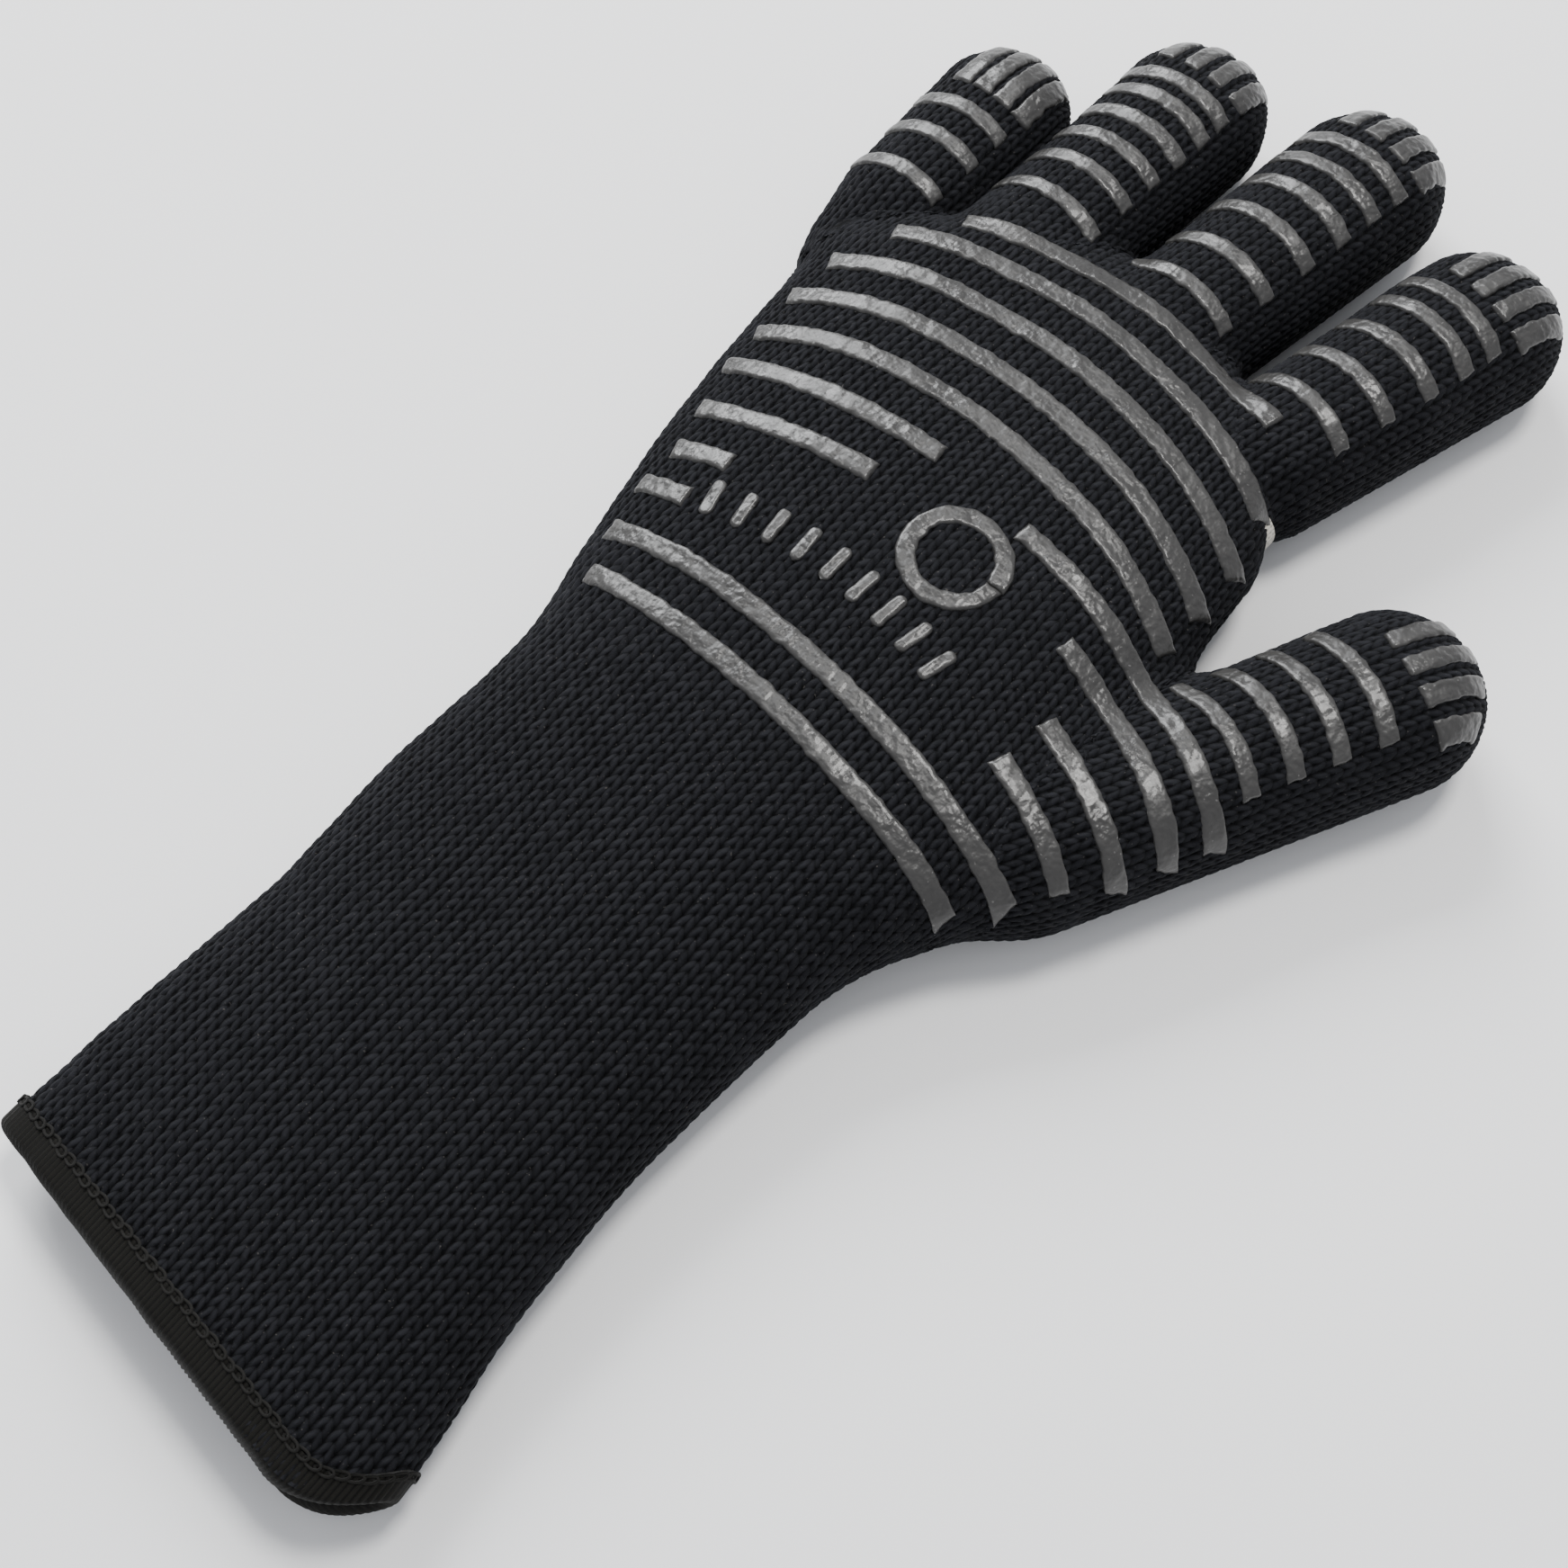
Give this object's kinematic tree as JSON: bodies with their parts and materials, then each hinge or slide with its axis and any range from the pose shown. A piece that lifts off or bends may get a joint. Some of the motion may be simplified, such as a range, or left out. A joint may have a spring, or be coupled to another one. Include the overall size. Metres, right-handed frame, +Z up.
{
  "type": "heat resistant glove",
  "caption": "Long-cuffed knitted heat resistant glove with silicone grip strips on the palm, a cotton lining and a taped cuff.",
  "frame": {"origin": "centre of the glove's bounding box, on the surface it lies on", "axes": "+Y from the cuff to the fingertips, +X towards the thumb, +Z up out of the printed palm side"},
  "size_m": [0.1822, 0.3588, 0.0358],
  "materials": {
    "black_knit": "matt coarse knit",
    "grey_silicone": "glossy moulded silicone",
    "cotton_lining": "soft matt cotton",
    "binding_tape": "ribbed woven tape",
    "sewing_thread": "dull twisted thread"
  },
  "bodies": {
    "cuff": {"cuff_knit": "black_knit", "cuff_lining": "cotton_lining", "cuff_binding": "binding_tape", "binding_stitch": "sewing_thread"},
    "hand": {"hand_knit": "black_knit", "hand_lining": "cotton_lining", "wrist_strips": "grey_silicone", "palm_strips": "grey_silicone", "heel_strips": "grey_silicone", "thumb_side_strips": "grey_silicone", "grip_pills": "grey_silicone", "grip_ring": "grey_silicone", "finger_root_strips": "grey_silicone"},
    "little_lower": {"little_lower_knit": "black_knit", "little_lower_lining": "cotton_lining", "little_lower_strips": "grey_silicone"},
    "little_tip": {"little_tip_knit": "black_knit", "little_tip_lining": "cotton_lining", "little_tip_strips": "grey_silicone"},
    "ring_lower": {"ring_lower_knit": "black_knit", "ring_lower_lining": "cotton_lining", "ring_lower_strips": "grey_silicone"},
    "ring_upper": {"ring_upper_knit": "black_knit", "ring_upper_lining": "cotton_lining", "ring_upper_strips": "grey_silicone"},
    "ring_tip": {"ring_tip_knit": "black_knit", "ring_tip_lining": "cotton_lining", "ring_tip_strips": "grey_silicone"},
    "middle_lower": {"middle_lower_knit": "black_knit", "middle_lower_lining": "cotton_lining", "middle_lower_strips": "grey_silicone"},
    "middle_upper": {"middle_upper_knit": "black_knit", "middle_upper_lining": "cotton_lining", "middle_upper_strips": "grey_silicone"},
    "middle_tip": {"middle_tip_knit": "black_knit", "middle_tip_lining": "cotton_lining", "middle_tip_strips": "grey_silicone"},
    "index_lower": {"index_lower_knit": "black_knit", "index_lower_lining": "cotton_lining", "index_lower_strips": "grey_silicone"},
    "index_upper": {"index_upper_knit": "black_knit", "index_upper_lining": "cotton_lining", "index_upper_strips": "grey_silicone"},
    "index_tip": {"index_tip_knit": "black_knit", "index_tip_lining": "cotton_lining", "index_tip_strips": "grey_silicone"},
    "thumb_lower": {"thumb_lower_knit": "black_knit", "thumb_lower_lining": "cotton_lining", "thumb_lower_strips": "grey_silicone"},
    "thumb_tip": {"thumb_tip_knit": "black_knit", "thumb_tip_lining": "cotton_lining", "thumb_tip_strips": "grey_silicone"}
  },
  "joints": [
    {"name": "wrist_bend", "type": "hinge", "parent": "hand", "child": "cuff", "pos_m": [-0.01863, -0.04115, 0.016], "axis": [-1, 0, 0], "range_deg": [-30, 40]},
    {"name": "little_knuckle", "type": "hinge", "parent": "hand", "child": "little_lower", "pos_m": [-0.076, 0.09982, 0.0245], "axis": [1, 0, 0], "range_deg": [0, 75]},
    {"name": "little_bend", "type": "hinge", "parent": "little_lower", "child": "little_tip", "pos_m": [-0.07725, 0.11778, 0.0245], "axis": [1, 0, 0], "range_deg": [0, 70]},
    {"name": "ring_knuckle", "type": "hinge", "parent": "hand", "child": "ring_lower", "pos_m": [-0.04444, 0.11274, 0.0275], "axis": [1, 0, 0], "range_deg": [0, 75]},
    {"name": "ring_bend", "type": "hinge", "parent": "ring_lower", "child": "ring_upper", "pos_m": [-0.04382, 0.13023, 0.0275], "axis": [1, 0, 0], "range_deg": [0, 80]},
    {"name": "ring_tip_bend", "type": "hinge", "parent": "ring_upper", "child": "ring_tip", "pos_m": [-0.04313, 0.15022, 0.0275], "axis": [1, 0, 0], "range_deg": [0, 44]},
    {"name": "middle_knuckle", "type": "hinge", "parent": "hand", "child": "middle_lower", "pos_m": [-0.01056, 0.11388, 0.0275], "axis": [1, 0, 0], "range_deg": [0, 75]},
    {"name": "middle_bend", "type": "hinge", "parent": "middle_lower", "child": "middle_upper", "pos_m": [-0.00866, 0.1366, 0.0275], "axis": [1, 0, 0], "range_deg": [0, 80]},
    {"name": "middle_tip_bend", "type": "hinge", "parent": "middle_upper", "child": "middle_tip", "pos_m": [-0.00667, 0.16021, 0.0275], "axis": [1, 0, 0], "range_deg": [0, 44]},
    {"name": "index_knuckle", "type": "hinge", "parent": "hand", "child": "index_lower", "pos_m": [0.02534, 0.10702, 0.0275], "axis": [1, 0, 0], "range_deg": [0, 75]},
    {"name": "index_bend", "type": "hinge", "parent": "index_lower", "child": "index_upper", "pos_m": [0.02927, 0.12765, 0.0275], "axis": [1, 0, 0], "range_deg": [0, 80]},
    {"name": "index_tip_bend", "type": "hinge", "parent": "index_upper", "child": "index_tip", "pos_m": [0.0321, 0.14248, 0.0275], "axis": [1, 0, 0], "range_deg": [0, 44]},
    {"name": "thumb_knuckle", "type": "hinge", "parent": "hand", "child": "thumb_lower", "pos_m": [0.0537, 0.02614, 0.029], "axis": [0.9026, -0.4305, 0], "range_deg": [0, 50]},
    {"name": "thumb_bend", "type": "hinge", "parent": "thumb_lower", "child": "thumb_tip", "pos_m": [0.06623, 0.0524, 0.029], "axis": [0.9026, -0.4305, 0], "range_deg": [0, 70]}
  ],
  "couplings": [
    {"joint": "ring_tip_bend", "follows": "ring_bend", "ratio": 0.55},
    {"joint": "middle_tip_bend", "follows": "middle_bend", "ratio": 0.55},
    {"joint": "index_tip_bend", "follows": "index_bend", "ratio": 0.55}
  ]
}
